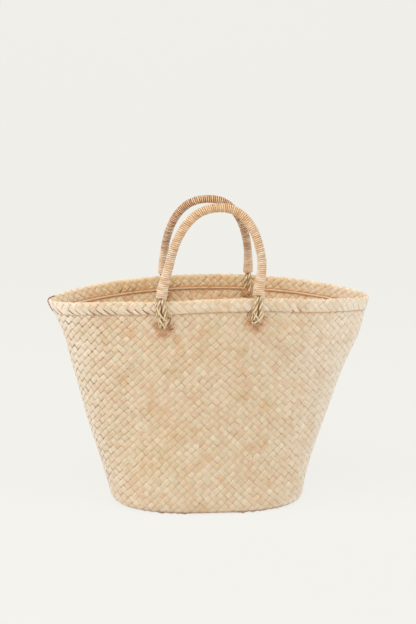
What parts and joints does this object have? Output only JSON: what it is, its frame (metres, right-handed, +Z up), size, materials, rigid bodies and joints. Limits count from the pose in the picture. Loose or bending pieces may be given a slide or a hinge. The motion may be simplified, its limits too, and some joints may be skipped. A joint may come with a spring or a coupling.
{
  "type": "straw basket bag",
  "caption": "Oval shopping basket plaited from natural palm leaf, open at the top and narrower at the base, with a folded hem and raffia-bound rope handles.",
  "frame": {"origin": "on the floor, under the middle of the basket's bounding box", "axes": "+Z up, X along the wide way of the mouth, the front of the basket faces -Y"},
  "size_m": [0.5004, 0.1912, 0.4805],
  "materials": {
    "palm_leaf": "dried palm leaf, satin, pale straw",
    "palm_hem": "dried palm leaf, satin, pale straw",
    "palm_rope": "twisted palm cord, matt, greenish straw",
    "raffia": "raffia, satin, pinkish cream"
  },
  "bodies": {
    "root": {"basket_body": "palm_leaf", "rim_hem": "palm_hem", "inner_hem_edge": "palm_hem", "handle_core_front": "palm_rope", "handle_core_back": "palm_rope", "handle_binding_front": "raffia", "handle_binding_back": "raffia"}
  },
  "joints": []
}
